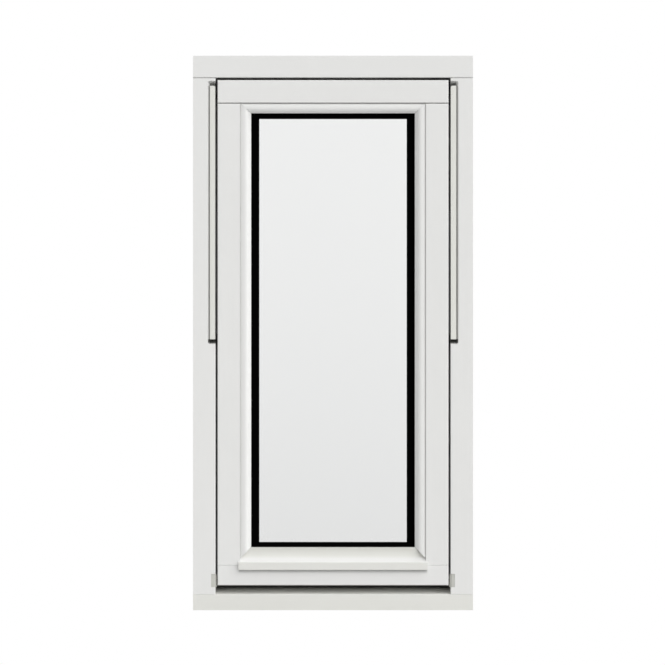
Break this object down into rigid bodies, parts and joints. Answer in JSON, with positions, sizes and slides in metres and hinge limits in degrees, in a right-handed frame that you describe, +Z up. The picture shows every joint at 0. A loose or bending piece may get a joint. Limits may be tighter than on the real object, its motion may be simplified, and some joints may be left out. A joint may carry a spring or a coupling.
{
  "type": "top swing window",
  "caption": "Painted timber window with a sash flush in its frame, slide rails let into the jambs, mitred glazing beads and a drip bead at the foot of the glass",
  "frame": {"origin": "middle of the sill's underside, at half the frame's depth", "axes": "+X to the right seen from outdoors, -Y outdoors, +Y indoors, +Z up"},
  "size_m": [0.6, 0.122, 1.188],
  "materials": {
    "white_painted_timber": "satin white paint",
    "clear_glass": "clear",
    "black_spacer": "matt black",
    "black_rubber": "matt black",
    "coated_aluminium": "pale grey powder coat",
    "zinc_plated_steel": "dull zinc plate",
    "grey_plastic": "moulded pale grey",
    "black_plastic": "moulded black",
    "satin_aluminium": "satin anodised"
  },
  "bodies": {
    "root": {"frame_head": "white_painted_timber", "frame_sill": "white_painted_timber", "left_jamb": "white_painted_timber", "right_jamb": "white_painted_timber", "sash_top_rail": "white_painted_timber", "sash_bottom_rail": "white_painted_timber", "left_sash_stile": "white_painted_timber", "right_sash_stile": "white_painted_timber", "top_glazing_bead": "white_painted_timber", "left_glazing_bead": "white_painted_timber", "right_glazing_bead": "white_painted_timber", "bottom_drip_bead": "white_painted_timber", "outer_pane": "clear_glass", "inner_pane": "clear_glass", "glass_spacer": "black_spacer", "glass_edge_seal": "black_rubber", "outer_gasket": "black_rubber", "inner_gasket": "black_rubber", "weather_seal": "black_rubber", "left_slide_rail": "coated_aluminium", "right_slide_rail": "coated_aluminium", "left_slide_shoe": "black_plastic", "right_slide_shoe": "black_plastic", "left_hinge_arm": "zinc_plated_steel", "right_hinge_arm": "zinc_plated_steel", "left_guide_block": "grey_plastic", "right_guide_block": "grey_plastic", "handle_rose": "satin_aluminium", "handle_lever": "satin_aluminium"}
  },
  "joints": []
}
